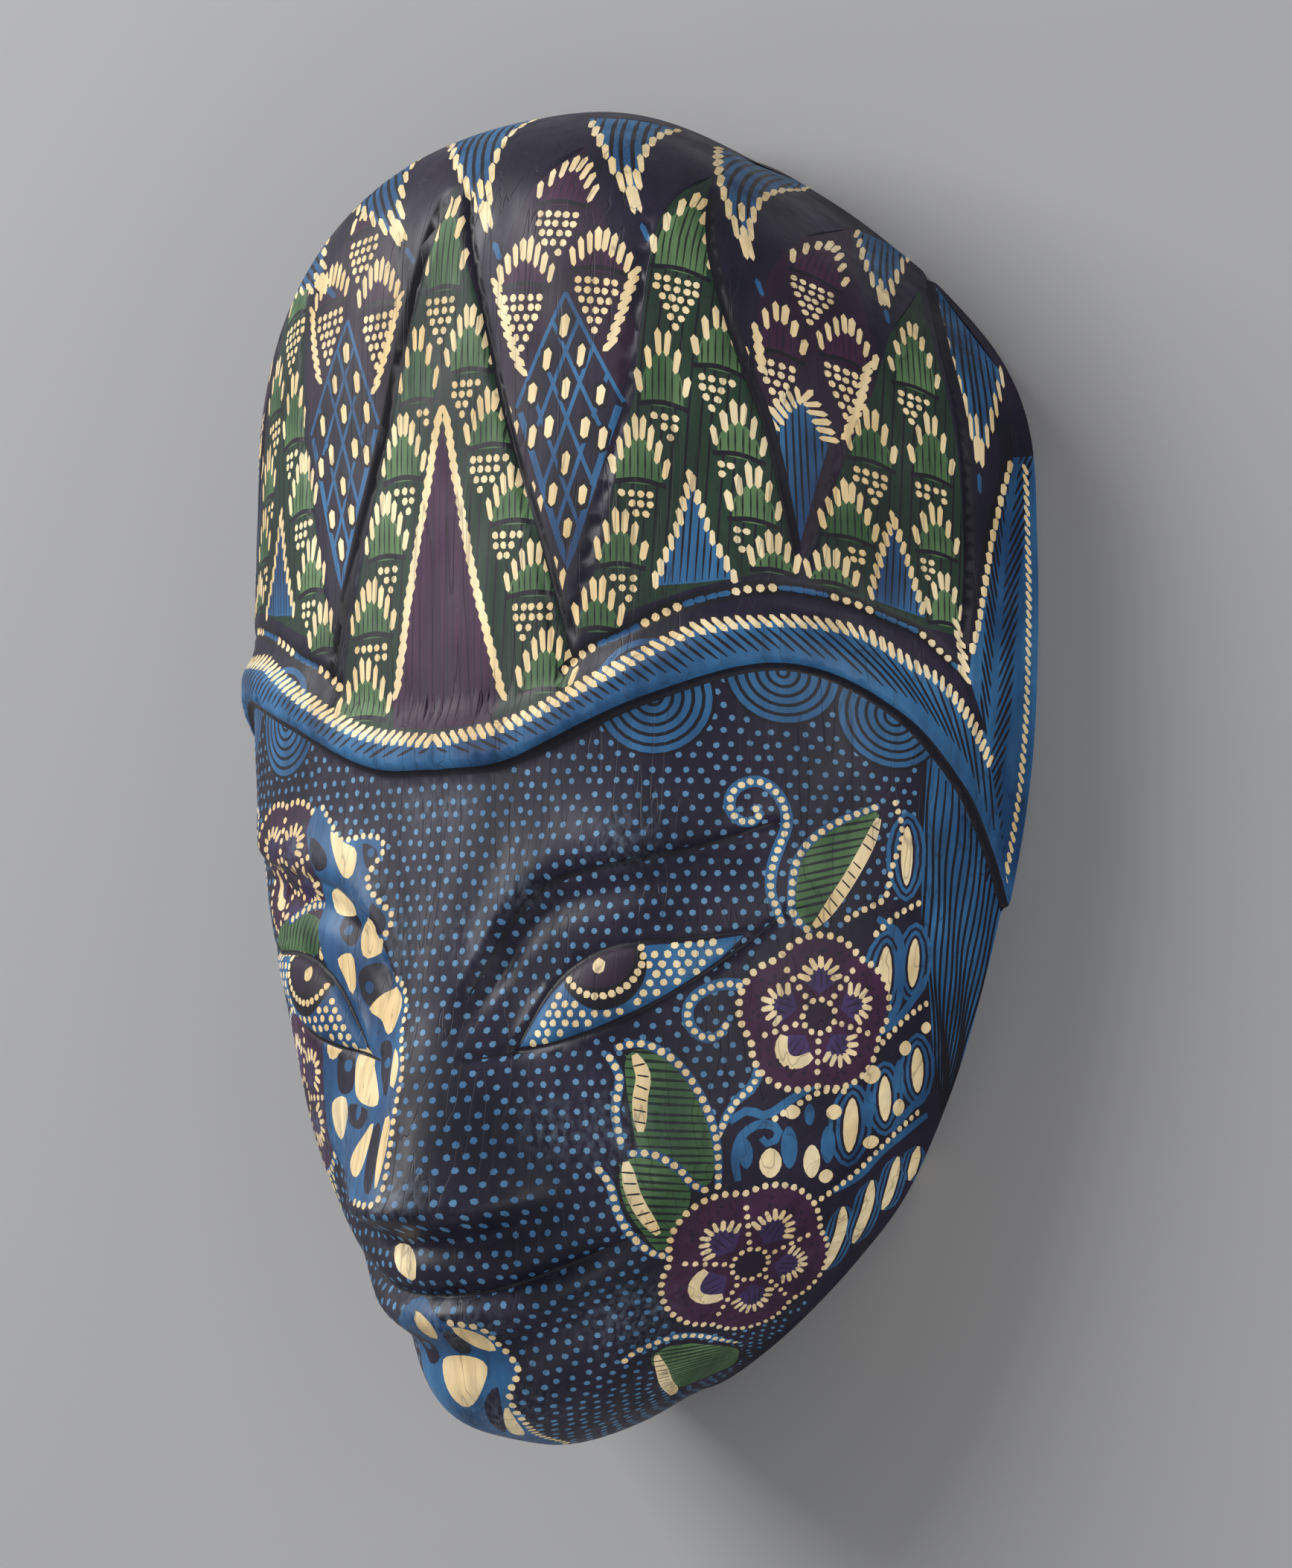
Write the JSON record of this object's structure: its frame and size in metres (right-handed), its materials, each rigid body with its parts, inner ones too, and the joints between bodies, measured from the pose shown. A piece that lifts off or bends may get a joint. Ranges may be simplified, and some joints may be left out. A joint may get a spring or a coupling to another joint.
{
  "type": "carved wooden mask",
  "caption": "Carved, batik-painted wooden face mask with a tall headdress, hollow at the back, lying on its flat back edge.",
  "frame": {"origin": "middle of the bounding box, at the level of the flat back edge", "axes": "+Y to the crown, +Z out of the face, +X to the wearer's left"},
  "size_m": [0.1866, 0.2828, 0.0972],
  "materials": {
    "painted_wood": "dyed and waxed, satin"
  },
  "bodies": {
    "root": {"mask": "painted_wood"}
  },
  "joints": []
}
